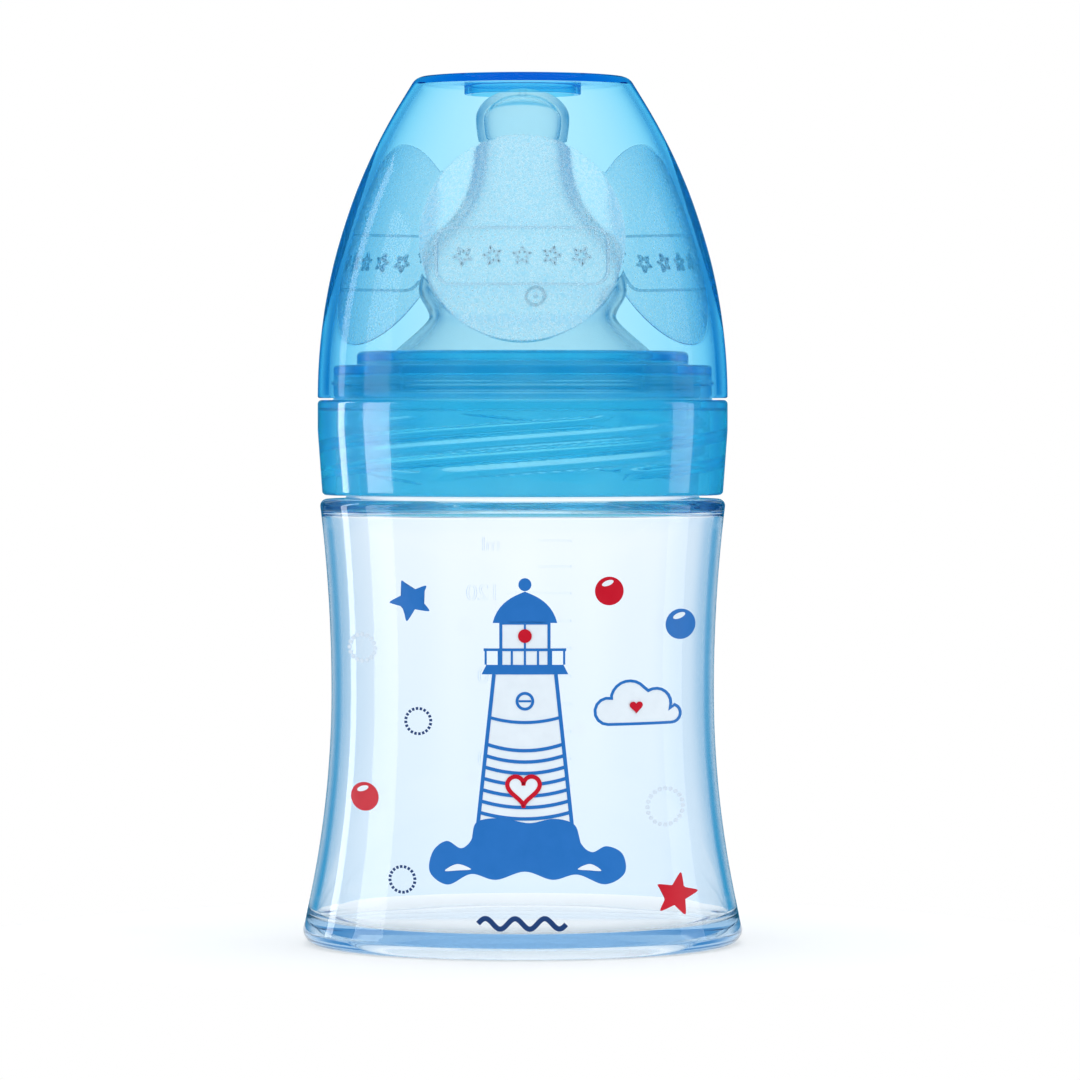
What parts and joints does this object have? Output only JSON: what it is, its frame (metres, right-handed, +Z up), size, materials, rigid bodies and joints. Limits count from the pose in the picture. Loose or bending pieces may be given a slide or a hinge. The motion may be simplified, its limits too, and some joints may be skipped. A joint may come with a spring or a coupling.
{
  "type": "baby bottle",
  "caption": "Waisted clear baby bottle with a wide threaded neck, a soft silicone teat, a screw collar and a tapered push-on cap with frosted ovals.",
  "frame": {"origin": "centre of the foot, on the surface that the bottle stands on", "axes": "+Z up the bottle's axis; -Y is the front, which carries the main print and one of the cap's ovals"},
  "size_m": [0.066, 0.066, 0.1299],
  "materials": {
    "bottle": "clear pale blue moulded plastic, glossy, printed",
    "teat": "soft clear silicone, satin",
    "collar": "translucent sky blue moulded plastic, glossy",
    "cap": "clear sky blue moulded plastic, glossy, with frosted ovals"
  },
  "bodies": {
    "bottle": {"bottle": "bottle"},
    "teat": {"teat": "teat"},
    "collar": {"collar": "collar"},
    "cap": {"cap": "cap"}
  },
  "joints": [
    {"name": "head_rise", "type": "slide", "parent": "bottle", "child": "teat", "axis": [0, 0, 1], "range_m": [0, 0.0105]},
    {"name": "collar_turn", "type": "hinge", "parent": "teat", "child": "collar", "pos_m": [0, 0, 0.0744], "axis": [0, 0, 1], "range_deg": [0, 310]},
    {"name": "cap_pull", "type": "slide", "parent": "collar", "child": "cap", "axis": [0, 0, 1], "range_m": [0, 0.055]}
  ],
  "couplings": [
    {"joint": "head_rise", "follows": "collar_turn", "m_per_rad": 0.0019099}
  ]
}
